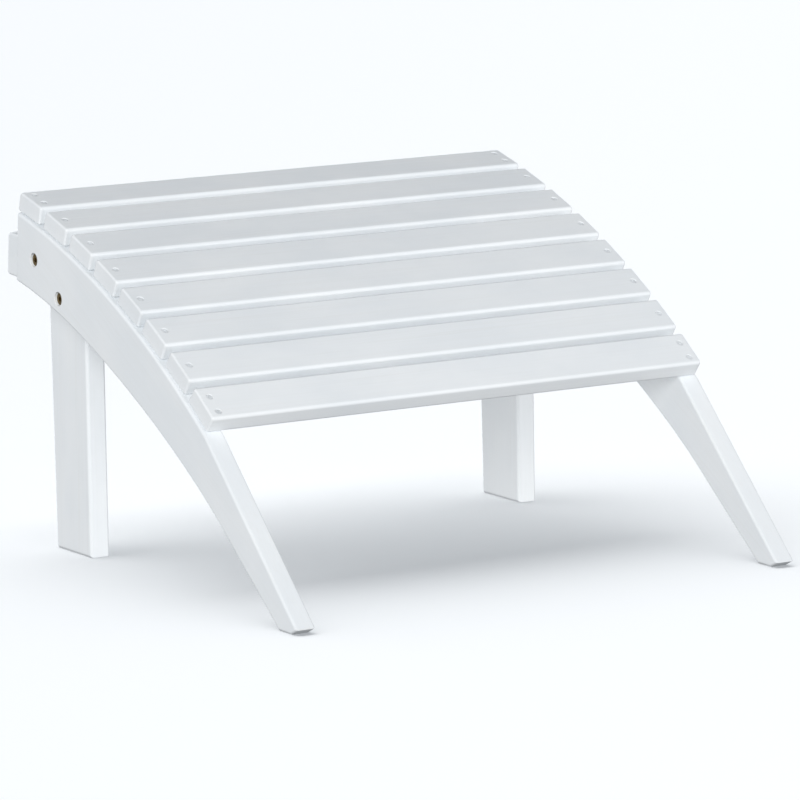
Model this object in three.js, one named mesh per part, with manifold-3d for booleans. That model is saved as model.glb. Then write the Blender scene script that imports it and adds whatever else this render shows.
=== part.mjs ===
// Adirondack footrest in painted wood: two curved side rails that run down into the front legs,
// two rear legs bolted inside them, a row of slats across the top and a crossbar across the back.
// Millimetres, +Z up, +X along the slats, +Y towards the high back end.
import * as THREE from "three";
import { mergeVertices } from "three/addons/utils/BufferGeometryUtils.js";
import Module from "manifold-3d";

const wasm = await Module();
wasm.setup();

// Stock and overall sizes
const overallWidth = 508;
const railThickness = 19;
const legThickness = 19;
const slatWidth = 37.5;
const slatThickness = 17;
const touchGap = 0.3; // between pieces that rest on each other

// Curved top edge of the side rails
const seatRadius = 824;
const kneeHeight = 143.8; // where the top curve turns down into the front leg
const kneeTilt = 37.9; // slope of the curve at the knee, degrees
const slatCount = 8;
const slatSpacing = 6.9; // open gap between slats, along the curve
const kneeSetback = 3; // from the knee back to the first slat's lower edge
const slatEndInset = 2.9; // slat ends stand this far inside the rails' outer faces
const slatOverhang = 4; // the last slat's edge stands this far behind the rails' back ends

// Front leg and underside of the rail
const frontLegAngle = 44.6; // front edge of the leg above the floor, degrees
const legUnderAngle = 38.6; // underside of the leg above the floor
const legUnderHeight = 70; // where the straight underside runs into the curve
const footLength = 32.8; // on the floor, from the heel to the corner that the toe bevel removes
const toeBevelLength = 14.5;
const toeBevelHeight = 5;
const railBackDepth = 60.4; // height of the rail's back end
const backLean = 3.3; // the back end leans forward, degrees
const underBackAngle = 10.6; // slope of the underside at the back end, degrees
const underBackReach = 110; // how far each end's slope carries into the curve
const underLegReach = 98.4;

// Rear legs
const legFootWidth = 59;
const legFrontLean = 1.6; // degrees from upright
const legRearLean = 2.6;
const legSetback = 33.4; // from the rail's back end to the leg's rear foot corner
const legTopGap = 6; // under the slats

// Crossbar across the rails' back ends
const crossbarHeight = 37.5;
const crossbarThickness = 20;
const crossbarRaise = 2; // above the rails' lower back corners

// Rounded edges
const railRound = 2.5;
const legRound = 3;
const slatRound = 3;
const slatEndRound = 2;

// Bolts and sleeve nuts that hold the rear legs
const boltShank = 6;
const boltClearance = 0.35; // around the shank, per side
const boltHead = 11;
const boltHeadHeight = 3.4;
const boltSocket = 4.6; // across the corners of the hexagon socket
const boltSocketDepth = 2.2;
const pocketClearance = 0.6; // around the head, per side
const pocketDepth = 5.6;
const upperBoltDrop = 31; // below the rail's top edge
const lowerBoltDrop = 46.8;
const upperBoltMargin = 9.5; // from the leg's rear edge to the bolt's axis
const lowerBoltMargin = 13.5; // from the leg's front edge
const sleeveWall = 1.4;
const sleeveLength = 13;
const sleeveCap = 1.6; // closed end of the sleeve, a low cap on the leg's inner face
const sleeveCapWidth = 13;

// Countersunk screws
const screwShank = 3.5;
const screwClearance = 0.35; // around the shank and under the head, per side
const screwHead = 6.2;
const screwHeadHeight = 2.2;
const screwSink = 0.6; // of the head below the wood
const screwHold = 14; // length in the rail
const screwInset = 12; // from the rail's outer face
const endSlatScrewSpacing = 17.4;
const backSlatScrewShift = 1; // towards the free edge of the slat at the back
const kneeSlatScrewShift = 2.2; // towards the free edge of the slat at the knee
const crossbarScrewSpacing = 16;
const crossbarScrewDrop = 2; // the pair sits below the crossbar's middle
const crossbarScrewHold = 22;

const roundSteps = 2;
const curveSteps = 14;
const turnSteps = 12;
const degrees = Math.PI / 180;

// Materials
const paint = (name) =>
  new THREE.MeshStandardMaterial({ name, color: 0xeef1f3, roughness: 0.42, metalness: 0 });
const metal = (name, color) =>
  new THREE.MeshStandardMaterial({ name, color, roughness: 0.38, metalness: 1 });

const railPaint = paint("painted_rail");
const legPaint = paint("painted_leg");
const slatPaint = paint("painted_slat");
const screwPaint = paint("painted_screw");
const boltBrass = metal("antique_brass", 0x6f6148);

// Side view of the rail, with Y from the foot's toe towards the back and Z up
const knee = new THREE.Vector2(kneeHeight / Math.tan(frontLegAngle * degrees), kneeHeight);
const curveCentre = new THREE.Vector2(
  knee.x + seatRadius * Math.sin(kneeTilt * degrees),
  knee.y - seatRadius * Math.cos(kneeTilt * degrees),
);

// Slope of the curve, in radians, at a distance back from the knee
const tiltAt = (distance) => kneeTilt * degrees - distance / seatRadius;

// Height of the rail's top edge above the floor at a place Y
const topHeight = (y) => curveCentre.y + Math.sqrt(seatRadius ** 2 - (curveCentre.x - y) ** 2);

// A point on the curve, or off it by a height along the normal
function pointOnCurve(tilt, height = 0) {
  const radius = seatRadius + height;
  return new THREE.Vector2(
    curveCentre.x - radius * Math.sin(tilt),
    curveCentre.y + radius * Math.cos(tilt),
  );
}

const slatPitch = slatWidth + slatSpacing;
const firstSlatDistance = kneeSetback + slatWidth / 2;
const lastSlatDistance = firstSlatDistance + (slatCount - 1) * slatPitch;
const backTilt = tiltAt(lastSlatDistance + slatWidth / 2 - slatOverhang);
const railBackTop = pointOnCurve(backTilt);
const railBackFoot = new THREE.Vector2(
  railBackTop.x + railBackDepth * Math.tan(backLean * degrees),
  railBackTop.y - railBackDepth,
);
const legRearFoot = railBackFoot.x - legSetback;
const legFrontFoot = legRearFoot - legFootWidth;

const legFrontAt = (height) => legFrontFoot + height * Math.tan(legFrontLean * degrees);
const legRearAt = (height) => legRearFoot + height * Math.tan(legRearLean * degrees);

// The crossbar's inner face lies along the rails' leaning back ends
const backUp = new THREE.Vector2(-Math.sin(backLean * degrees), Math.cos(backLean * degrees));
const backOut = new THREE.Vector2(backUp.y, -backUp.x);
const crossbarFace = railBackFoot
  .clone()
  .addScaledVector(backUp, crossbarRaise + crossbarHeight / 2)
  .addScaledVector(backOut, touchGap);

// The whole part is centred on its own depth, from the toe to the crossbar's lower back edge
const crossbarBack = crossbarFace.x + slatRound
  + (crossbarThickness - slatRound) * backOut.x
  - (crossbarHeight / 2 - slatRound) * backUp.x;
const toeTip = toeBevelHeight / Math.tan(frontLegAngle * degrees);
const centreDepth = (crossbarBack + toeTip) / 2;

const railCentreX = overallWidth / 2 - railThickness / 2;
const legCentreX = overallWidth / 2 - railThickness - touchGap - legThickness / 2;
const screwX = overallWidth / 2 - screwInset;
const slatLength = overallWidth - 2 * slatEndInset;

// Solids
function solidOf(geometry) {
  const bare = geometry.index ? geometry.toNonIndexed() : geometry.clone();
  bare.deleteAttribute("normal");
  bare.deleteAttribute("uv");
  const merged = mergeVertices(bare, 1e-4);
  const vertProperties = merged.attributes.position.array;
  const triVerts = merged.index.array;
  return new wasm.Manifold(new wasm.Mesh({ numProp: 3, vertProperties, triVerts }));
}

function geometryOf(solid) {
  const mesh = solid.getMesh();
  const geometry = new THREE.BufferGeometry();
  geometry.setAttribute("position", new THREE.BufferAttribute(mesh.vertProperties, 3));
  geometry.setIndex(new THREE.BufferAttribute(mesh.triVerts, 1));
  const flat = geometry.toNonIndexed();
  flat.computeVertexNormals();
  return flat;
}

function cut(geometry, cutters) {
  let solid = solidOf(geometry);
  for (const cutter of cutters) solid = solid.subtract(solidOf(cutter));
  return geometryOf(solid);
}

// A side-view outline given a thickness along X, with its edges rounded
function board(outline, thickness, round) {
  const geometry = new THREE.ExtrudeGeometry(outline, {
    depth: thickness - 2 * round,
    curveSegments: curveSteps,
    bevelThickness: round,
    bevelSize: round,
    bevelOffset: -round,
    bevelSegments: roundSteps,
  });
  geometry.translate(0, 0, round - thickness / 2);
  const sideView = new THREE.Matrix4().makeBasis(
    new THREE.Vector3(0, 1, 0),
    new THREE.Vector3(0, 0, 1),
    new THREE.Vector3(1, 0, 0),
  );
  return geometry.applyMatrix4(sideView);
}

function roundedRectangle(width, height, round) {
  const x = width / 2;
  const y = height / 2;
  const shape = new THREE.Shape();
  shape.absarc(x - round, y - round, round, 0, Math.PI / 2);
  shape.absarc(round - x, y - round, round, Math.PI / 2, Math.PI);
  shape.absarc(round - x, round - y, round, Math.PI, 1.5 * Math.PI);
  shape.absarc(x - round, round - y, round, 1.5 * Math.PI, 2 * Math.PI);
  return shape;
}

// A bar of slat stock along X, lying flat with its underside at Z = 0
function slatStock(width, thickness) {
  const geometry = new THREE.ExtrudeGeometry(roundedRectangle(width, thickness, slatRound), {
    depth: slatLength - 2 * slatEndRound,
    curveSegments: roundSteps,
    bevelThickness: slatEndRound,
    bevelSize: slatEndRound,
    bevelOffset: -slatEndRound,
    bevelSegments: roundSteps,
  });
  geometry.translate(0, 0, slatEndRound - slatLength / 2);
  const alongX = new THREE.Matrix4().makeBasis(
    new THREE.Vector3(0, 1, 0),
    new THREE.Vector3(0, 0, 1),
    new THREE.Vector3(1, 0, 0),
  );
  geometry.applyMatrix4(alongX);
  geometry.translate(0, 0, thickness / 2);
  return geometry;
}

// A turned piece from [radius, height] steps, its axis along Z
function turned(steps) {
  const points = steps.map(([radius, height]) => new THREE.Vector2(radius, height));
  const geometry = new THREE.LatheGeometry(points, turnSteps);
  return geometry.rotateX(Math.PI / 2);
}

// Outline of a side rail and its front leg
function railOutline() {
  const heel = footLength;
  const under = new THREE.Vector2(
    heel + legUnderHeight / Math.tan(legUnderAngle * degrees),
    legUnderHeight,
  );
  const shape = new THREE.Shape();
  shape.moveTo(heel, 0);
  shape.lineTo(toeBevelLength, 0);
  shape.lineTo(toeTip, toeBevelHeight);
  shape.lineTo(knee.x, knee.y);
  shape.absarc(
    curveCentre.x,
    curveCentre.y,
    seatRadius,
    Math.PI / 2 + kneeTilt * degrees,
    Math.PI / 2 + backTilt,
    true,
  );
  shape.lineTo(railBackFoot.x, railBackFoot.y);
  shape.bezierCurveTo(
    railBackFoot.x - underBackReach * Math.cos(underBackAngle * degrees),
    railBackFoot.y - underBackReach * Math.sin(underBackAngle * degrees),
    under.x + underLegReach * Math.cos(legUnderAngle * degrees),
    under.y + underLegReach * Math.sin(legUnderAngle * degrees),
    under.x,
    under.y,
  );
  shape.lineTo(heel, 0);
  return shape;
}

// Outline of a rear leg, cut off under the slats along the slope of the seat
function legOutline() {
  const frontTop = topHeight(legFrontFoot) - legTopGap;
  const rearTop = topHeight(legRearFoot) - legTopGap;
  const shape = new THREE.Shape();
  shape.moveTo(legFrontFoot, 0);
  shape.lineTo(legFrontAt(frontTop), frontTop);
  shape.lineTo(legRearAt(rearTop), rearTop);
  shape.lineTo(legRearFoot, 0);
  shape.lineTo(legFrontFoot, 0);
  return shape;
}

// Bolt axes in the side view: the upper one near the leg's rear edge, the lower near its front edge
function boltPlaces() {
  const rearTop = topHeight(legRearFoot);
  const upperY = legRearAt(rearTop - upperBoltDrop) - upperBoltMargin;
  const frontTop = topHeight(legFrontFoot);
  const lowerY = legFrontAt(frontTop - lowerBoltDrop) + lowerBoltMargin;
  return {
    upper: new THREE.Vector2(upperY, topHeight(upperY) - upperBoltDrop),
    lower: new THREE.Vector2(lowerY, topHeight(lowerY) - lowerBoltDrop),
  };
}

const sleeveOuter = boltShank + 2 * boltClearance + 2 * sleeveWall;
const boltLength = railThickness - pocketDepth + touchGap + legThickness - sleeveCap;

// Bolt, its head's face at Z = 0 and its shank running down
function boltGeometry() {
  const shaft = turned([
    [0, -boltHeadHeight - boltLength],
    [boltShank / 2 - 0.5, -boltHeadHeight - boltLength],
    [boltShank / 2, -boltHeadHeight - boltLength + 0.5],
    [boltShank / 2, -boltHeadHeight],
    [boltHead / 2, -boltHeadHeight],
    [boltHead / 2, -0.6],
    [boltHead / 2 - 0.6, 0],
    [0, 0],
  ]);
  const socket = new THREE.CylinderGeometry(boltSocket / 2, boltSocket / 2, 2 * boltSocketDepth, 6);
  socket.rotateX(Math.PI / 2);
  return cut(shaft, [socket]);
}

// Sleeve nut, its cap's outer face at Z = 0 and its sleeve running down over the bolt's end
function sleeveNutGeometry() {
  const outer = sleeveOuter / 2;
  const inner = outer - sleeveWall;
  return turned([
    [0, -sleeveCap],
    [inner, -sleeveCap],
    [inner, -sleeveLength],
    [outer, -sleeveLength],
    [outer, -sleeveCap],
    [sleeveCapWidth / 2, -sleeveCap],
    [sleeveCapWidth / 2, -0.5],
    [sleeveCapWidth / 2 - 0.8, 0],
    [0, 0],
  ]);
}

// Screw, with the wood's surface at Z = 0 and the head sunk below it
function screwGeometry(length) {
  const top = -screwSink;
  const neck = top - screwHeadHeight;
  return turned([
    [0, -length],
    [screwShank / 2, -length + 4],
    [screwShank / 2, neck],
    [screwHead / 2, top - 0.3],
    [screwHead / 2, top],
    [0, top],
  ]);
}

// The hole that a screw goes through: a countersink and a bore
function screwHole(length) {
  const bore = screwShank / 2 + screwClearance;
  const mouth = screwHead / 2 + screwClearance;
  const neck = -screwSink - screwHeadHeight - screwClearance;
  return turned([
    [0, -length],
    [bore, -length],
    [bore, neck],
    [mouth, -screwSink - screwClearance],
    [mouth, 1],
    [0, 1],
  ]);
}

function addMesh(parent, name, geometry, material) {
  const mesh = new THREE.Mesh(geometry, material);
  mesh.name = name;
  parent.add(mesh);
  return mesh;
}

const sides = [
  { name: "left", sign: -1 },
  { name: "right", sign: 1 },
];

// Slats are numbered from the high back end, as they are counted when sitting in the chair
function slatPlace(number) {
  const tilt = tiltAt(firstSlatDistance + (slatCount - number) * slatPitch);
  return { tilt, point: pointOnCurve(tilt, touchGap) };
}

// Where the screws stand across a slat's width
function slatScrewRows(number) {
  const half = endSlatScrewSpacing / 2;
  if (number === 1) return { rear: backSlatScrewShift + half, front: backSlatScrewShift - half };
  if (number === slatCount) return { rear: half - kneeSlatScrewShift, front: -half - kneeSlatScrewShift };
  return { mid: 0 };
}

function slatGroup(number) {
  const { tilt, point } = slatPlace(number);
  const group = new THREE.Group();
  group.position.set(0, point.x, point.y);
  group.rotation.x = tilt;
  return group;
}

const screwLength = slatThickness + touchGap + screwHold;
const crossbarScrewLength = crossbarThickness + touchGap + crossbarScrewHold;

// Every slat screw on one side, as matrices that put its axis in the whole part's frame
function slatScrewFrames(sign) {
  const frames = [];
  for (let number = 1; number <= slatCount; number += 1) {
    const group = slatGroup(number);
    group.updateMatrix();
    for (const along of Object.values(slatScrewRows(number))) {
      const local = new THREE.Matrix4().makeTranslation(sign * screwX, along, slatThickness);
      frames.push(group.matrix.clone().multiply(local));
    }
  }
  return frames;
}

// The crossbar lies on the rails' back ends, with its outer face leaning as they do
function crossbarGroup() {
  const group = new THREE.Group();
  group.position.set(0, crossbarFace.x, crossbarFace.y);
  group.rotation.x = backLean * degrees - Math.PI / 2;
  return group;
}

const crossbarScrewRows = {
  upper: crossbarScrewDrop - crossbarScrewSpacing / 2,
  lower: crossbarScrewDrop + crossbarScrewSpacing / 2,
};

function crossbarScrewFrames(sign) {
  const group = crossbarGroup();
  group.updateMatrix();
  return Object.values(crossbarScrewRows).map((along) =>
    group.matrix
      .clone()
      .multiply(new THREE.Matrix4().makeTranslation(sign * screwX, along, crossbarThickness)),
  );
}

// A cylinder along X between two places, for bores through rails and legs
function boreAlongX(radius, fromX, toX, place) {
  const bore = new THREE.CylinderGeometry(radius, radius, Math.abs(toX - fromX), turnSteps);
  bore.rotateZ(Math.PI / 2);
  return bore.translate((fromX + toX) / 2, place.x, place.y);
}

function addSideRail(parent, side) {
  const rail = board(railOutline(), railThickness, railRound);
  rail.translate(side.sign * railCentreX, 0, 0);
  const cutters = [];
  const outerX = (side.sign * overallWidth) / 2;
  const beyond = side.sign * railThickness;
  for (const place of Object.values(boltPlaces())) {
    const pocketFloor = outerX - side.sign * pocketDepth;
    cutters.push(boreAlongX(boltShank / 2 + boltClearance, outerX + beyond, outerX - 2 * beyond, place));
    cutters.push(boreAlongX(boltHead / 2 + pocketClearance, outerX + beyond, pocketFloor, place));
  }
  for (const frame of slatScrewFrames(side.sign)) {
    cutters.push(screwHole(screwLength + screwClearance).applyMatrix4(frame));
  }
  for (const frame of crossbarScrewFrames(side.sign)) {
    cutters.push(screwHole(crossbarScrewLength + screwClearance).applyMatrix4(frame));
  }
  addMesh(parent, `side_rail_${side.name}`, cut(rail, cutters), railPaint);
}

function addRearLeg(parent, side) {
  const leg = board(legOutline(), legThickness, legRound);
  leg.translate(side.sign * legCentreX, 0, 0);
  const outerX = side.sign * (legCentreX + legThickness / 2);
  const innerX = side.sign * (legCentreX - legThickness / 2);
  const beyond = side.sign * legThickness;
  const sleeveEnd = innerX + side.sign * (sleeveLength - sleeveCap + boltClearance);
  const cutters = [];
  for (const place of Object.values(boltPlaces())) {
    cutters.push(boreAlongX(boltShank / 2 + boltClearance, outerX + beyond, innerX - beyond, place));
    cutters.push(boreAlongX(sleeveOuter / 2 + boltClearance, sleeveEnd, innerX - beyond, place));
  }
  addMesh(parent, `rear_leg_${side.name}`, cut(leg, cutters), legPaint);
}

// Head in the rail's outer pocket, capped sleeve on the leg's inner face
function addLegBolt(parent, side, row, place) {
  const facing = (side.sign * Math.PI) / 2;
  const bolt = addMesh(parent, `leg_bolt_${side.name}_${row}`, boltGeometry(), boltBrass);
  const headFace = overallWidth / 2 - pocketDepth + touchGap + boltHeadHeight;
  bolt.position.set(side.sign * headFace, place.x, place.y);
  bolt.rotation.y = facing;
  const nut = addMesh(parent, `leg_nut_${side.name}_${row}`, sleeveNutGeometry(), boltBrass);
  const capFace = legCentreX - legThickness / 2 - touchGap - sleeveCap;
  nut.position.set(side.sign * capFace, place.x, place.y);
  nut.rotation.y = -facing;
}

function addSlat(parent, number) {
  const group = slatGroup(number);
  const cutters = [];
  const rows = slatScrewRows(number);
  for (const side of sides) {
    for (const [row, along] of Object.entries(rows)) {
      const place = [side.sign * screwX, along, slatThickness];
      cutters.push(screwHole(2 * slatThickness).translate(...place));
      const name = `slat_screw_${number}_${side.name}_${row}`;
      const screw = addMesh(group, name, screwGeometry(screwLength), screwPaint);
      screw.position.set(...place);
    }
  }
  addMesh(group, `slat_${number}`, cut(slatStock(slatWidth, slatThickness), cutters), slatPaint);
  parent.add(group);
}

function addCrossbar(parent) {
  const group = crossbarGroup();
  const cutters = [];
  for (const side of sides) {
    for (const [row, along] of Object.entries(crossbarScrewRows)) {
      const place = [side.sign * screwX, along, crossbarThickness];
      cutters.push(screwHole(2 * crossbarThickness).translate(...place));
      const name = `crossbar_screw_${side.name}_${row}`;
      const screw = addMesh(group, name, screwGeometry(crossbarScrewLength), screwPaint);
      screw.position.set(...place);
    }
  }
  const bar = cut(slatStock(crossbarHeight, crossbarThickness), cutters);
  addMesh(group, "back_crossbar", bar, slatPaint);
  parent.add(group);
}

const footrest = new THREE.Group();
footrest.position.y = -centreDepth;
for (const side of sides) {
  addSideRail(footrest, side);
  addRearLeg(footrest, side);
  for (const [row, place] of Object.entries(boltPlaces())) addLegBolt(footrest, side, row, place);
}
for (let number = 1; number <= slatCount; number += 1) addSlat(footrest, number);
addCrossbar(footrest);

export default footrest;
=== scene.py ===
import math
import bpy
from mathutils import Matrix, Vector


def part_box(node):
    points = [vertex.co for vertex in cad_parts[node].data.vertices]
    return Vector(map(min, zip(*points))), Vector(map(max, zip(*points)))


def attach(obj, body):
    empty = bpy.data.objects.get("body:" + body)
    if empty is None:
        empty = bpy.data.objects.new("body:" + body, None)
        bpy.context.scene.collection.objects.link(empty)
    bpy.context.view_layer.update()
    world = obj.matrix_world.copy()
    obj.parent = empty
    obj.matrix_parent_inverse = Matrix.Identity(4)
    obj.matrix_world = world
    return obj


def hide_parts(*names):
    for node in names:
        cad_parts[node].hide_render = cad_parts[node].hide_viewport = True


# Adirondack footrest in white painted wood. Metres, +X along the slats, +Y to the high back end
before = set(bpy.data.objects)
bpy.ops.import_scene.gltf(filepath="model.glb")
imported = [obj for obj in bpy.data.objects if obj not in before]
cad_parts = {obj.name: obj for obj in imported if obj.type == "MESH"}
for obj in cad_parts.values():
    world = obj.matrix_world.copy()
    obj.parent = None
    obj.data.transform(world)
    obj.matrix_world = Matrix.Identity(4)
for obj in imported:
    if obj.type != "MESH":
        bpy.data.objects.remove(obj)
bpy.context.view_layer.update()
mm = 0.001
print("frame loaded:", len(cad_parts), "pieces")


cameraSizes = {
    "place": (-2.73428, -4.14321, 1.02791),
    "azimuth": -33.457,  # degrees, 0 looks along +Y
    "elevation": 10.194,
    "lens": 261.7,  # millimetres, on a sensor this wide
    "sensor": 36,
    "farthest": 60,
}


def addCamera(sizes):
    data = bpy.data.cameras.new("viewCamera")
    data.lens = sizes["lens"]
    data.sensor_width = sizes["sensor"]
    data.clip_end = sizes["farthest"]
    camera = bpy.data.objects.new("viewCamera", data)
    turn = Matrix.Rotation(math.radians(sizes["azimuth"]), 4, "Z")
    tip = Matrix.Rotation(math.radians(90 - sizes["elevation"]), 4, "X")
    camera.matrix_world = Matrix.Translation(sizes["place"]) @ turn @ tip
    bpy.context.scene.collection.objects.link(camera)
    bpy.context.scene.camera = camera
    bpy.context.scene.view_settings.view_transform = "Standard"


addCamera(cameraSizes)


def hexColor(text):
    channels = [int(text[i:i + 2], 16) / 255 for i in (1, 3, 5)]
    linear = [c / 12.92 if c <= 0.04045 else ((c + 0.055) / 1.055) ** 2.4 for c in channels]
    return (*linear, 1)


def newMaterial(name):
    material = bpy.data.materials.new(name)
    material.use_nodes = True
    material.node_tree.nodes.clear()
    return material, material.node_tree


# Settings and links go to the inputs of that name or number, other settings to the node itself
def addNode(tree, kind, settings=None, links=None):
    node = tree.nodes.new(kind)
    for key, value in (settings or {}).items():
        if isinstance(key, int) or key in node.inputs:
            node.inputs[key].default_value = value
        else:
            setattr(node, key, value)
    for key, source in (links or {}).items():
        tree.links.new(source, node.inputs[key])
    return node


# Object coordinates turned to lie along a piece and divided by a pattern's real size in millimetres
def patternCoords(tree, sizes, turn):
    coords = addNode(tree, "ShaderNodeTexCoord")
    scale = [size * mm for size in sizes]
    settings = {"vector_type": "TEXTURE", "Rotation": turn, "Scale": scale}
    return addNode(tree, "ShaderNodeMapping", settings, {"Vector": coords.outputs["Object"]}).outputs[0]


def noise(tree, sizes, turn=(0, 0, 0), detail=2, roughness=0.5):
    settings = {"Scale": 1, "Detail": detail, "Roughness": roughness}
    links = {"Vector": patternCoords(tree, sizes, turn)}
    return addNode(tree, "ShaderNodeTexNoise", settings, links).outputs["Fac"]


def rampTo(tree, source, fromLow, fromHigh, toLow, toHigh):
    settings = {"From Min": fromLow, "From Max": fromHigh, "To Min": toLow, "To Max": toHigh}
    return addNode(tree, "ShaderNodeMapRange", settings, {"Value": source}).outputs[0]


def times(tree, first, second):
    return addNode(tree, "ShaderNodeMath", {"operation": "MULTIPLY"}, {0: first, 1: second}).outputs[0]


# Mixes two colours, each a hex value or another node's output
def blendColors(tree, share, first, second):
    settings = {"data_type": "RGBA"}
    links = {0: share}
    for socket, color in ((6, first), (7, second)):
        if isinstance(color, str):
            settings[socket] = hexColor(color)
        else:
            links[socket] = color
    return addNode(tree, "ShaderNodeMix", settings, links).outputs[2]


def bump(tree, height, depth, under=None):
    links = {"Height": height}
    if under is not None:
        links["Normal"] = under
    return addNode(tree, "ShaderNodeBump", {"Distance": depth * mm}, links).outputs[0]


# Where the surface turns over an edge: 0 on the flat, 1 where it has turned some 20 degrees
def edgeShare(tree, radius):
    wide = addNode(tree, "ShaderNodeBevel", {"samples": 4, "Radius": radius * mm})
    own = addNode(tree, "ShaderNodeNewGeometry")
    links = {0: wide.outputs[0], 1: own.outputs["Normal"]}
    facing = addNode(tree, "ShaderNodeVectorMath", {"operation": "DOT_PRODUCT"}, links)
    return rampTo(tree, facing.outputs["Value"], 0.995, 0.93, 0, 1)


def finishShader(tree, settings, links):
    shader = addNode(tree, "ShaderNodeBsdfPrincipled", settings, links)
    output = addNode(tree, "ShaderNodeOutputMaterial")
    tree.links.new(shader.outputs[0], output.inputs["Surface"])


enamelLooks = {  # pattern sizes are along and across the board
    "white": "#ECEFF1",
    "thinFilm": "#E6EAED",
    "primer": "#DAD9D3",  # shows faintly along the grain and on worn edges
    "grain": (130, 2.2, 2.2),
    "grainDepth": 0.06,
    "grainShow": 0.22,
    "figure": (240, 14, 14),  # bands where the grain comes and goes
    "pores": (16, 0.9, 0.9),
    "poreDepth": 0.04,
    "peel": (2.4, 2.4, 2.4),  # spray texture
    "peelDepth": 0.012,
    "film": (95, 60, 60),  # slow changes in the coat's thickness
    "rub": (22, 9, 9),
    "rubWidth": 2.2,  # worn band along an edge
    "rubShow": 0.6,
    "glossyCoat": 0.46,  # roughness
    "dryCoat": 0.58,
    "ior": 1.48,
    "specular": 0.38,
}


# Sprayed satin acrylic enamel on sanded hardwood: a cool white film with a soft sheen, through
# which the grain and a few open pores still show as faint lines
def sprayedEnamel(name, turn):
    looks = enamelLooks
    material, tree = newMaterial(name)
    grain = noise(tree, looks["grain"], turn, 5, 0.6)
    figure = noise(tree, looks["figure"], turn, 3, 0.5)
    pores = rampTo(tree, noise(tree, looks["pores"], turn, 2, 0.5), 0.62, 0.74, 0, 1)
    peel = noise(tree, looks["peel"], turn, 2, 0.5)
    film = noise(tree, looks["film"], turn, 3, 0.55)
    rub = noise(tree, looks["rub"], turn, 4, 0.6)

    tone = blendColors(tree, rampTo(tree, film, 0.35, 0.65, 0, 1), looks["white"], looks["thinFilm"])
    lines = times(tree, rampTo(tree, grain, 0.45, 0.8, 0, 1), rampTo(tree, figure, 0.3, 0.7, 0.2, 1))
    tone = blendColors(tree, rampTo(tree, lines, 0, 1, 0, looks["grainShow"]), tone, looks["primer"])
    rubbed = rampTo(tree, rub, 0.5, 0.72, 0, looks["rubShow"])
    worn = times(tree, edgeShare(tree, looks["rubWidth"]), rubbed)
    tone = blendColors(tree, worn, tone, looks["primer"])

    surface = bump(tree, grain, looks["grainDepth"])
    surface = bump(tree, peel, looks["peelDepth"], surface)
    surface = bump(tree, rampTo(tree, pores, 0, 1, 1, 0), looks["poreDepth"], surface)
    sheen = rampTo(tree, film, 0.3, 0.7, looks["glossyCoat"], looks["dryCoat"])
    links = {"Base Color": tone, "Roughness": sheen, "Normal": surface}
    finishShader(tree, {"IOR": looks["ior"], "Specular IOR Level": looks["specular"]}, links)
    return material


screwLooks = {
    "film": "#E4E8EA",
    "filmShade": "#D3D7DA",
    "zinc": "#9EA1A1",  # grey through the film on the rims
    "patch": (5, 5, 5),
    "peel": (1.3, 1.3, 1.3),
    "peelDepth": 0.03,
    "rimWidth": 0.35,
    "ior": 1.48,
}


# Zinc-plated steel screw heads sprayed over with the wood: a patchy, glossier film that thins to
# grey on the rims
def paintedScrewSteel(name):
    looks = screwLooks
    material, tree = newMaterial(name)
    peel = noise(tree, looks["peel"], detail=3)
    patch = noise(tree, looks["patch"], detail=3, roughness=0.6)
    thin = times(tree, edgeShare(tree, looks["rimWidth"]), rampTo(tree, patch, 0.45, 0.65, 0.1, 0.9))
    tone = blendColors(tree, rampTo(tree, patch, 0.3, 0.7, 0, 1), looks["film"], looks["filmShade"])
    tone = blendColors(tree, thin, tone, looks["zinc"])
    links = {
        "Base Color": tone,
        "Roughness": rampTo(tree, patch, 0.3, 0.7, 0.3, 0.44),
        "Normal": bump(tree, peel, looks["peelDepth"]),
    }
    finishShader(tree, {"IOR": looks["ior"]}, links)
    return material


brassLooks = {
    "brown": "#5E5038",
    "dull": "#8A7650",
    "speck": "#352D20",
    "rubbed": "#B79C62",
    "patina": (2.6, 2.6, 2.6),
    "specks": (0.5, 0.5, 0.5),
    "speckDepth": 0.02,
    "scratch": (0.25, 4, 0.25),
    "scratchTurn": (0.5, 0, 0),
    "scratchDepth": 0.015,
    "rimWidth": 0.4,
}


# Antique brass plating on steel, tumbled and waxed: patches of dark brown and dull yellow, brighter
# where the rims are rubbed
def antiqueBrass(name):
    looks = brassLooks
    material, tree = newMaterial(name)
    patina = noise(tree, looks["patina"], detail=4, roughness=0.6)
    specks = noise(tree, looks["specks"])
    scratch = noise(tree, looks["scratch"], looks["scratchTurn"])
    tone = blendColors(tree, rampTo(tree, patina, 0.32, 0.68, 0, 1), looks["brown"], looks["dull"])
    tone = blendColors(tree, rampTo(tree, specks, 0.6, 0.75, 0, 0.6), tone, looks["speck"])
    bright = times(tree, edgeShare(tree, looks["rimWidth"]), rampTo(tree, patina, 0.3, 0.6, 0.4, 1))
    tone = blendColors(tree, bright, tone, looks["rubbed"])
    surface = bump(tree, specks, looks["speckDepth"])
    surface = bump(tree, scratch, looks["scratchDepth"], surface)
    links = {
        "Base Color": tone,
        "Roughness": rampTo(tree, patina, 0.3, 0.7, 0.52, 0.34),
        "Normal": surface,
    }
    finishShader(tree, {"Metallic": 1}, links)
    return material


paperLooks = {
    "light": "#E8EAEB",
    "dark": "#E6E8EA",
    "glowColor": "#F7FBFF",
    "fibre": (3, 3, 3),
    "glow": 0.21,  # lifts the open sheet to white
    "bounce": 0.27,  # light that the object gets from below
}


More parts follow.
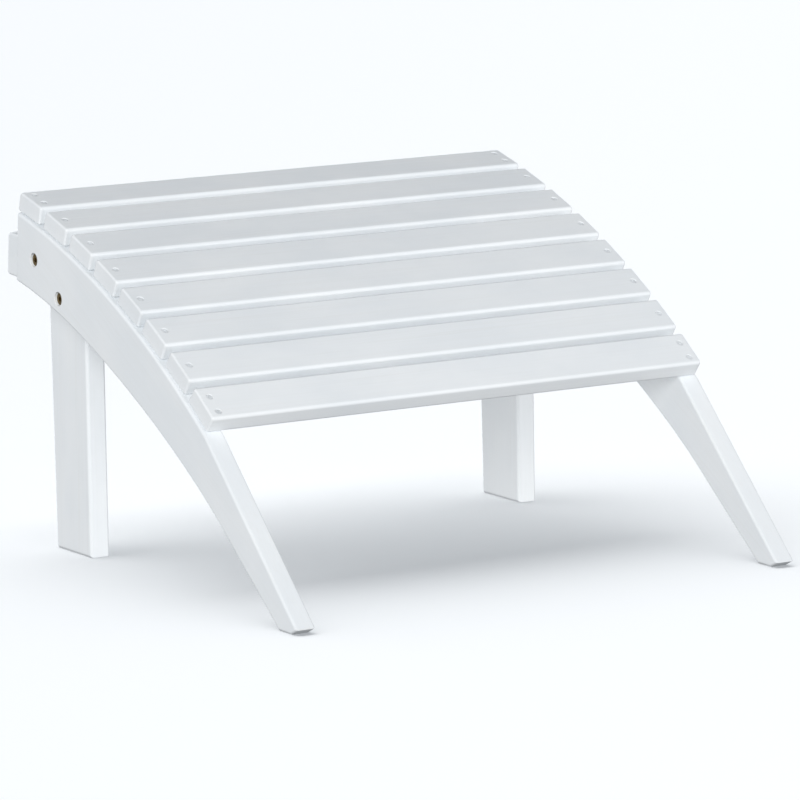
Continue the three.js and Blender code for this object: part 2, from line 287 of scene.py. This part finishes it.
# Rolled matt paper: plain white, with a soft shadow and no shine. The camera sees the shaded
# sheet, and the object gets one even light back from it
def studioPaper(name):
    looks = paperLooks
    material, tree = newMaterial(name)
    fibre = noise(tree, looks["fibre"])
    tone = blendColors(tree, fibre, looks["light"], looks["dark"])
    glowColor = hexColor(looks["glowColor"])
    matt = addNode(tree, "ShaderNodeBsdfDiffuse", {"Roughness": 1}, {"Color": tone})
    seen = addNode(tree, "ShaderNodeEmission", {"Color": glowColor, "Strength": looks["glow"]})
    lit = addNode(tree, "ShaderNodeAddShader", {}, {0: matt.outputs[0], 1: seen.outputs[0]})
    spread = addNode(tree, "ShaderNodeEmission", {"Color": glowColor, "Strength": looks["bounce"]})
    path = addNode(tree, "ShaderNodeLightPath")
    links = {0: path.outputs["Is Camera Ray"], 1: spread.outputs[0], 2: lit.outputs[0]}
    shown = addNode(tree, "ShaderNodeMixShader", {}, links)
    output = addNode(tree, "ShaderNodeOutputMaterial")
    tree.links.new(shown.outputs[0], output.inputs["Surface"])
    return material


railSlope = math.radians(30)  # the rail's board runs this way, and the grain with it
slatPaint = sprayedEnamel("sprayedEnamelSlat", (0, 0, 0))
railPaint = sprayedEnamel("sprayedEnamelRail", (0, -railSlope, math.pi / 2))
legPaint = sprayedEnamel("sprayedEnamelLeg", (0, math.pi / 2, 0))
screwPaint = paintedScrewSteel("paintedScrewSteel")
boltBrass = antiqueBrass("antiqueBrassPlating")
print("materials made")


def clearSelection():
    bpy.ops.object.select_all(action="DESELECT")


def makeActive(piece):
    clearSelection()
    piece.select_set(True)
    bpy.context.view_layer.objects.active = piece


def leaveEdit():
    bpy.ops.object.mode_set(mode="OBJECT")


def editAll(piece):
    makeActive(piece)
    bpy.ops.object.mode_set(mode="EDIT")
    bpy.ops.mesh.select_all(action="SELECT")


# Edit mode with nothing selected but what is chosen in code: edges by their two ends, or points
def editChosen(piece, kind, chosen):
    makeActive(piece)
    bpy.ops.object.mode_set(mode="EDIT")
    bpy.ops.mesh.select_mode(type=kind)
    bpy.ops.mesh.select_all(action="DESELECT")
    bpy.ops.object.mode_set(mode="OBJECT")
    points = piece.data.vertices
    if kind == "EDGE":
        for edge in piece.data.edges:
            edge.select = chosen(*(points[i].co for i in edge.vertices))
    else:
        for point in points:
            point.select = chosen(point.co)
    bpy.ops.object.mode_set(mode="EDIT")


def bevelEdges(piece, chosen, size, steps):
    editChosen(piece, "EDGE", chosen)
    bpy.ops.mesh.bevel(offset=size * mm, segments=steps, affect="EDGES")
    leaveEdit()


def facesOut(piece):
    editAll(piece)
    bpy.ops.mesh.normals_make_consistent(inside=False)
    leaveEdit()


def applyModifier(piece, kind, **settings):
    makeActive(piece)
    modifier = piece.modifiers.new(kind.lower(), kind)
    for key, value in settings.items():
        setattr(modifier, key, value)
    bpy.ops.object.modifier_apply(modifier=modifier.name)


def cutAway(piece, cutter):
    applyModifier(piece, "BOOLEAN", operation="DIFFERENCE", solver="EXACT", object=cutter)
    bpy.data.objects.remove(cutter)


def copyOf(piece, name):
    copied = bpy.data.objects.new(name, piece.data.copy())
    bpy.context.scene.collection.objects.link(copied)
    return copied


def joined(parts):
    makeActive(parts[0])
    for part in parts:
        part.select_set(True)
    bpy.ops.object.join()
    return bpy.context.view_layer.objects.active


# A round piece grown from a disc by extruding and scaling, from (radius, height) steps along Z
def turnedPiece(name, steps, sides):
    clearSelection()
    (radius, height), *rest = steps
    place = (0, 0, height * mm)
    bpy.ops.mesh.primitive_circle_add(vertices=sides, radius=radius * mm, location=place, fill_type="NGON")
    piece = bpy.context.object
    piece.name = name
    bpy.ops.object.transform_apply(location=True, rotation=False, scale=False)
    bpy.ops.object.mode_set(mode="EDIT")
    bpy.ops.mesh.select_all(action="SELECT")
    for nextRadius, nextHeight in rest:
        rise = (0, 0, (nextHeight - height) * mm)
        bpy.ops.mesh.extrude_region_move(TRANSFORM_OT_translate={"value": rise})
        growth = nextRadius / radius
        bpy.ops.transform.resize(value=(growth, growth, 1), center_override=(0, 0, nextHeight * mm))
        radius, height = nextRadius, nextHeight
    leaveEdit()
    facesOut(piece)
    return piece


smoothTurn = math.radians(40)  # roundings are smooth up to this turn between faces


# Smooth over the roundings and flat on the faces, with its paint or metal, and riding its body
def finishPiece(piece, material, node):
    makeActive(piece)
    bpy.ops.object.shade_smooth_by_angle(angle=smoothTurn, keep_sharp_edges=False)
    applyModifier(piece, "WEIGHTED_NORMAL", keep_sharp=True, weight=80)
    piece.data.materials.clear()
    piece.data.materials.append(material)
    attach(piece, "root")
    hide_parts(node)


# How far a CAD node reaches along a direction: (lowest, highest)
def reach(node, direction):
    along = [point.co.dot(direction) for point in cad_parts[node].data.vertices]
    return min(along), max(along)


# The normal of a CAD node's largest flat on one side
def largestFlat(node, side):
    flats = [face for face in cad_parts[node].data.polygons if face.normal.dot(side) > 0.5]
    return max(flats, key=lambda face: face.area).normal.copy()


xAxis = Vector((1, 0, 0))
yAxis = Vector((0, 1, 0))
zAxis = Vector((0, 0, 1))


# Puts local Z along the outward normal at a point of the surface
def surfacePlace(point, normal, along=xAxis):
    across = normal.cross(along)
    turn = Matrix((along, across, normal)).transposed().to_4x4()
    return Matrix.Translation(point) @ turn


# Cutters for the fasteners' holes, kept until the rails and legs are made
boardSides = (("left", -1), ("right", 1))
holesInRails = {"left": [], "right": []}
holesInLegs = {"left": [], "right": []}

screwSizes = {
    "head": 5.6,
    "headHeight": 2.2,
    "headRim": 0.35,  # straight edge of the head ends this far down
    "headEase": (0.4, 0.2),  # its rounding, across and down
    "shank": 3.5,
    "point": 4.0,
    "tip": 0.3,
    "sink": 0.42,  # of the painted head below the wood
    "gap": 0.14,  # paint line around the head
    "endGap": 0.35,
    "mouthRound": 0.4,
    "mouthStraight": 0.4,
    "bore": 4.2,
    "recessWidth": 0.8,
    "recessSpan": 3.0,
    "recessDepth": 0.7,
    "recessRound": 0.2,
    "sides": 40,
}
cutterRise = 0.6  # a hole's cutter stands this proud of the wood


def makeScrew(name, length):
    sizes = screwSizes
    head = sizes["head"] / 2
    shank = sizes["shank"] / 2
    easeAcross, easeDown = sizes["headEase"]
    top = -sizes["sink"]
    steps = [
        (sizes["tip"], -length), (shank, sizes["point"] - length), (shank, top - sizes["headHeight"]),
        (head, top - sizes["headRim"]), (head, top - easeDown),
        (head - 0.3 * easeAcross, top - 0.25 * easeDown), (head - easeAcross, top),
    ]
    screw = turnedPiece(name, steps, sizes["sides"])
    span = (sizes["recessSpan"] * mm, sizes["recessWidth"] * mm, 2 * sizes["recessDepth"] * mm)
    for turn in (0, math.pi / 2):
        clearSelection()
        bpy.ops.mesh.primitive_cube_add(size=1, location=(0, 0, top * mm), rotation=(0, 0, turn), scale=span)
        recess = bpy.context.object
        applyModifier(recess, "BEVEL", width=sizes["recessRound"] * mm, segments=2)
        cutAway(screw, recess)
    return screw


# The countersunk hole that a screw fills, with the paint-rounded mouth at the wood's surface
def makeScrewHole(length):
    sizes = screwSizes
    bore = sizes["bore"] / 2
    mouth = sizes["head"] / 2 + sizes["gap"]
    rounding = sizes["mouthRound"]
    flare = mouth + rounding
    headTop = -sizes["sink"]
    depth = length + sizes["endGap"]
    steps = [
        (bore, -depth), (bore, headTop - sizes["headHeight"] - sizes["gap"]),
        (mouth, headTop - sizes["mouthStraight"]), (mouth, -rounding),
        (mouth + 0.3 * rounding, -0.5 * rounding), (flare - 0.3 * rounding, -0.15 * rounding), (flare, 0),
        (flare + cutterRise, cutterRise),
    ]
    return turnedPiece("screwHole", steps, sizes["sides"])


slatSizes = {
    "count": 8,
    "longRound": 3.0,
    "longSteps": 5,
    "endRound": 2.0,
    "endSteps": 4,
}


# A rounded bar of slat stock along X, its middle at the origin
def makeBar(name, length, width, thickness):
    sizes = slatSizes
    clearSelection()
    bpy.ops.mesh.primitive_cube_add(size=1, location=(0, 0, 0), scale=(length, width, thickness))
    bar = bpy.context.object
    bar.name = name
    bpy.ops.object.transform_apply(location=False, rotation=False, scale=True)
    bevelEdges(bar, lambda a, b: abs(a.x - b.x) > length / 2, sizes["longRound"], sizes["longSteps"])
    atEnd = length / 2 - 0.1 * mm

    def aroundEnd(a, b):
        return min(abs(a.x), abs(b.x)) > atEnd and a.x * b.x > 0

    bevelEdges(bar, aroundEnd, sizes["endRound"], sizes["endSteps"])
    return bar


# One bar and its screws, placed by the CAD node's own middle, slope and extent
def addScrewedBar(name, node, screwStart, outward):
    normal = largestFlat(node, outward)
    across = normal.cross(xAxis)
    leftEnd, rightEnd = reach(node, xAxis)
    nearEdge, farEdge = reach(node, across)
    underside, top = reach(node, normal)
    bar = makeBar(name, rightEnd - leftEnd, farEdge - nearEdge, top - underside)
    corner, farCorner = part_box(node)
    bar.data.transform(surfacePlace((corner + farCorner) / 2, normal))
    holes = []
    for screwNode in sorted(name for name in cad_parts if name.startswith(screwStart)):
        side = "left" if "_left_" in screwNode else "right"
        x = sum(reach(screwNode, xAxis)) / 2
        middle = sum(reach(screwNode, across)) / 2
        length = (top - reach(screwNode, normal)[0]) / mm
        place = surfacePlace(xAxis * x + across * middle + normal * top, normal)
        screw = makeScrew("painted_" + screwNode, length)
        screw.data.transform(place)
        finishPiece(screw, screwPaint, screwNode)
        hole = makeScrewHole(length)
        hole.data.transform(place)
        holesInRails[side].append(copyOf(hole, "railHole"))
        holes.append(hole)
    cutAway(bar, joined(holes))
    finishPiece(bar, slatPaint, node)


for number in range(1, slatSizes["count"] + 1):
    addScrewedBar(f"slat_board_{number}", f"slat_{number}", f"slat_screw_{number}_", zAxis)
print("slats made")
addScrewedBar("crossbar_board", "back_crossbar", "crossbar_screw_", yAxis)
print("crossbar made")


boltSizes = {
    "head": 11.0,
    "headHeight": 3.4,
    "headEase": 0.2,  # under the head's rim
    "headRound": 0.6,
    "shank": 6.0,
    "chamfer": 0.6,
    "socket": 4.6,
    "socketLand": 0.5,
    "socketDepth": 2.2,
    "pocketGap": 0.6,
    "floorGap": 0.3,  # between the head and the pocket's floor
    "boreGap": 0.35,
    "pocketMouth": 0.5,  # rounding where the pocket meets the rail's face
    "pastLeg": 4.0,  # the hole's cutter runs on this far
    "sides": 48,
}

nutSizes = {
    "sleeve": 9.5,
    "sleeveLength": 13.0,
    "sleeveEase": 0.2,
    "cap": 13.0,
    "capHeight": 1.6,
    "capEase": 0.15,
    "capMiddle": 2.0,  # radius of the innermost ring on the cap's flat
    "bore": 6.7,
    "boreRise": 1.0,
}


def makeBolt(name, length):
    sizes = boltSizes
    head = sizes["head"] / 2
    shank = sizes["shank"] / 2
    under = -sizes["headHeight"]
    ease = sizes["headEase"]
    chamfer = sizes["chamfer"]
    rounding = sizes["headRound"]
    socketRadius = sizes["socket"] / 2
    steps = [
        (shank - chamfer, -length), (shank, chamfer - length), (shank, under),
        (head - ease, under), (head, under + ease), (head, -rounding),
        (head - 0.08, -0.35), (head - 0.25, -0.14), (head - rounding, 0),
        (socketRadius + sizes["socketLand"], 0),
    ]
    bolt = turnedPiece(name, steps, sizes["sides"])
    clearSelection()
    socketSpan = 2 * sizes["socketDepth"] * mm
    bpy.ops.mesh.primitive_cylinder_add(vertices=6, radius=socketRadius * mm, depth=socketSpan)
    cutAway(bolt, bpy.context.object)
    return bolt


def makeSleeveNut(name):
    sizes = nutSizes
    sleeve = sizes["sleeve"] / 2
    cap = sizes["cap"] / 2
    end = -sizes["sleeveLength"]
    under = -sizes["capHeight"]
    sleeveEase = sizes["sleeveEase"]
    capEase = sizes["capEase"]
    steps = [
        (sleeve - sleeveEase, end), (sleeve, end + sleeveEase), (sleeve, under),
        (cap - capEase, under), (cap, under + capEase), (cap, -0.75), (cap - 0.15, -0.4),
        (cap - 0.5, -0.12), (cap - 1.1, 0), (sizes["capMiddle"], 0),
    ]
    nut = turnedPiece(name, steps, boltSizes["sides"])
    bore = sizes["bore"] / 2
    cutter = turnedPiece("bore", [(bore, end - sizes["boreRise"]), (bore, under)], boltSizes["sides"])
    cutAway(nut, cutter)
    return nut


# Everything that one bolt and its nut need cut out of the rail and the leg, the rail's face at Z = 0
def makeBoltHole(pocketDepth, sleeveTop, length):
    sizes = boltSizes
    pocket = sizes["head"] / 2 + sizes["pocketGap"]
    bore = sizes["shank"] / 2 + sizes["boreGap"]
    sleeve = nutSizes["sleeve"] / 2 + sizes["boreGap"]
    mouth = sizes["pocketMouth"]
    steps = [
        (sleeve, -length), (sleeve, -sleeveTop), (bore, -sleeveTop), (bore, -pocketDepth),
        (pocket, -pocketDepth), (pocket, -mouth), (pocket + 0.15 * mouth, -0.5 * mouth),
        (pocket + 0.5 * mouth, -0.15 * mouth), (pocket + mouth, 0), (pocket + 2 * mouth, mouth),
    ]
    return turnedPiece("boltHole", steps, sizes["sides"])


# A bolt in the rail's outer face, its nut in the leg's inner face, and the hole through both
def addBoltAndNut(side, row, outward):
    railFace = reach(f"side_rail_{side}", outward)[1]
    legInside = reach(f"rear_leg_{side}", outward)[0]
    boltNode = f"leg_bolt_{side}_{row}"
    nutNode = f"leg_nut_{side}_{row}"
    boltEnd, headFace = reach(boltNode, outward)
    nutCap, nutTop = reach(nutNode, outward)
    low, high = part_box(boltNode)
    axis = Vector((0, (low.y + high.y) / 2, (low.z + high.z) / 2))
    bolt = makeBolt("brass_" + boltNode, (headFace - boltEnd) / mm)
    bolt.data.transform(surfacePlace(axis + outward * headFace, outward, yAxis))
    finishPiece(bolt, boltBrass, boltNode)
    nut = makeSleeveNut("brass_" + nutNode)
    nut.data.transform(surfacePlace(axis + outward * nutCap, -outward, yAxis))
    finishPiece(nut, boltBrass, nutNode)
    pocketDepth = (railFace - headFace) / mm + boltSizes["headHeight"] + boltSizes["floorGap"]
    sleeveTop = (railFace - nutTop) / mm - boltSizes["boreGap"]
    length = (railFace - legInside) / mm + boltSizes["pastLeg"]
    hole = makeBoltHole(pocketDepth, sleeveTop, length)
    hole.data.transform(surfacePlace(axis + outward * railFace, outward, yAxis))
    holesInLegs[side].append(copyOf(hole, "legHole"))
    holesInRails[side].append(hole)


for side, sign in boardSides:
    for row in ("upper", "lower"):
        addBoltAndNut(side, row, xAxis * sign)
print("bolts and nuts made")


boardSizes = {
    "railRound": 2.5,
    "legRound": 3.0,
    "roundSteps": 5,
    "cornerEase": 0.5,  # sawn corners, eased with paper
    "cornerTurn": 35,  # degrees; gentler corners stay as they are
    "railSection": 3.5,  # from the rail's inner face, where its outline is clear of the screws
    "boltClear": 7.0,  # holes of the bolts lie within this of their axes
    "sameCurve": 0.2,  # degrees; outline edges that turn less than this are one
    "shortest": 0.2,  # outline edge
    "sameEnd": 0.01,  # the two ends of an outline edge lie this close in X
}


# A board whose outline is its CAD node's, taken at one place in its thickness
def makeBoard(name, node, sectionX, edgeRound, boltAxes):
    sizes = boardSizes
    low, high = reach(node, xAxis)
    board = copyOf(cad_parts[node], name)
    editAll(board)
    bpy.ops.mesh.remove_doubles(threshold=0.002 * mm)
    bpy.ops.mesh.bisect(
        plane_co=(sectionX, 0, 0), plane_no=(1, 0, 0), use_fill=False, clear_inner=True, clear_outer=True
    )
    leaveEdit()
    clear = sizes["boltClear"] * mm
    editChosen(board, "VERT", lambda place: any((place - axis).yz.length < clear for axis in boltAxes))
    bpy.ops.mesh.delete(type="VERT")
    bpy.ops.mesh.select_all(action="SELECT")
    bpy.ops.mesh.dissolve_limited(angle_limit=math.radians(sizes["sameCurve"]))
    bpy.ops.mesh.select_all(action="SELECT")
    bpy.ops.mesh.remove_doubles(threshold=sizes["shortest"] * mm)
    bpy.ops.mesh.edge_face_add()
    bpy.ops.transform.translate(value=(low - sectionX, 0, 0))
    bpy.ops.mesh.extrude_region_move(TRANSFORM_OT_translate={"value": (high - low, 0, 0)})
    leaveEdit()
    facesOut(board)
    near = sizes["sameEnd"] * mm
    bevelEdges(board, lambda a, b: abs(a.x - b.x) < near, edgeRound, sizes["roundSteps"])
    corner = math.radians(sizes["cornerTurn"])
    applyModifier(board, "BEVEL", width=sizes["cornerEase"] * mm, segments=2, angle_limit=corner)
    return board


def addRailAndLeg(side, sign):
    outward = xAxis * sign
    boltAxes = [sum(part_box(f"leg_bolt_{side}_{row}"), Vector()) / 2 for row in ("upper", "lower")]
    railNode = f"side_rail_{side}"
    section = sign * (reach(railNode, outward)[0] + boardSizes["railSection"] * mm)
    rail = makeBoard(f"rail_board_{side}", railNode, section, boardSizes["railRound"], boltAxes)
    cutAway(rail, joined(holesInRails[side]))
    finishPiece(rail, railPaint, railNode)
    legNode = f"rear_leg_{side}"
    middle = sign * sum(reach(legNode, outward)) / 2
    leg = makeBoard(f"leg_board_{side}", legNode, middle, boardSizes["legRound"], boltAxes)
    cutAway(leg, joined(holesInLegs[side]))
    finishPiece(leg, legPaint, legNode)


for side, sign in boardSides:
    addRailAndLeg(side, sign)
print("rails and rear legs made")


stageSizes = {
    "floor": 60.0,
    "sky": 0.268,
    "skyColor": "#F4F9FF",
}

# Wide soft boxes: towards the lamp, strength, width in degrees, and what blocks it
lampSizes = {
    "keyLamp": ((-0.40, -0.48, 0.22), 1.3, 30, "notFloor"),
    "frontFillLamp": ((-0.40, -0.48, 0.22), 1.22, 30, "nothing"),  # reaches under the seat
    "leftLamp": ((-0.906, 0.42, 0.05), 0.54, 40, "notFloor"),
    "rightLamp": ((0.766, -0.643, 0.05), 1.16, 40, "notFloor"),
    "backLamp": ((0.3, 0.95, 0.1), 1.4, 40, "notFloor"),
    "overheadLamp": ((-0.02, 0.72, 1), 4.75, 104, "all"),  # only the floor gets this one
}


def addSun(name, direction, strength, angle, receivers, blockers):
    data = bpy.data.lights.new(name, "SUN")
    data.energy = strength
    data.angle = math.radians(angle)
    lamp = bpy.data.objects.new(name, data)
    lamp.rotation_euler = Vector(direction).to_track_quat("Z", "Y").to_euler()
    bpy.context.scene.collection.objects.link(lamp)
    lamp.light_linking.receiver_collection = receivers
    lamp.light_linking.blocker_collection = blockers


# A set that lamps use to light the floor alone, or everything but the floor
def floorSet(name, floor, state):
    collection = bpy.data.collections.new(name)
    collection.objects.link(floor)
    collection.collection_objects[0].light_linking.link_state = state
    return collection


def addFloor(size):
    clearSelection()
    bpy.ops.mesh.primitive_plane_add(size=size, location=(0, 0, 0))
    floor = bpy.context.object
    floor.name = "studio_floor"
    floor.data.materials.append(studioPaper("studioPaper"))
    return floor


def addLamps(floor):
    floorOnly = floorSet("floorOnly", floor, "INCLUDE")
    notFloor = floorSet("notFloor", floor, "EXCLUDE")
    blockers = {"notFloor": notFloor, "nothing": floorOnly, "all": None}
    for name, (direction, strength, angle, blocked) in lampSizes.items():
        receivers = floorOnly if blocked == "all" else notFloor
        addSun(name, direction, strength, angle, receivers, blockers[blocked])


# A plain white room for the camera, and a soft cool fill for everything in it
def addRoom(color, strength):
    world = bpy.data.worlds.new("softRoom")
    world.use_nodes = True
    tree = world.node_tree
    tree.nodes.clear()
    fill = addNode(tree, "ShaderNodeBackground", {"Color": hexColor(color), "Strength": strength})
    seen = addNode(tree, "ShaderNodeBackground", {"Color": (1, 1, 1, 1), "Strength": 1})
    path = addNode(tree, "ShaderNodeLightPath")
    links = {0: path.outputs["Is Camera Ray"], 1: fill.outputs[0], 2: seen.outputs[0]}
    shown = addNode(tree, "ShaderNodeMixShader", {}, links)
    output = addNode(tree, "ShaderNodeOutputWorld")
    tree.links.new(shown.outputs[0], output.inputs["Surface"])
    bpy.context.scene.world = world


addLamps(addFloor(stageSizes["floor"]))
addRoom(stageSizes["skyColor"], stageSizes["sky"])
print("stage made")

bpy.context.view_layer.update()
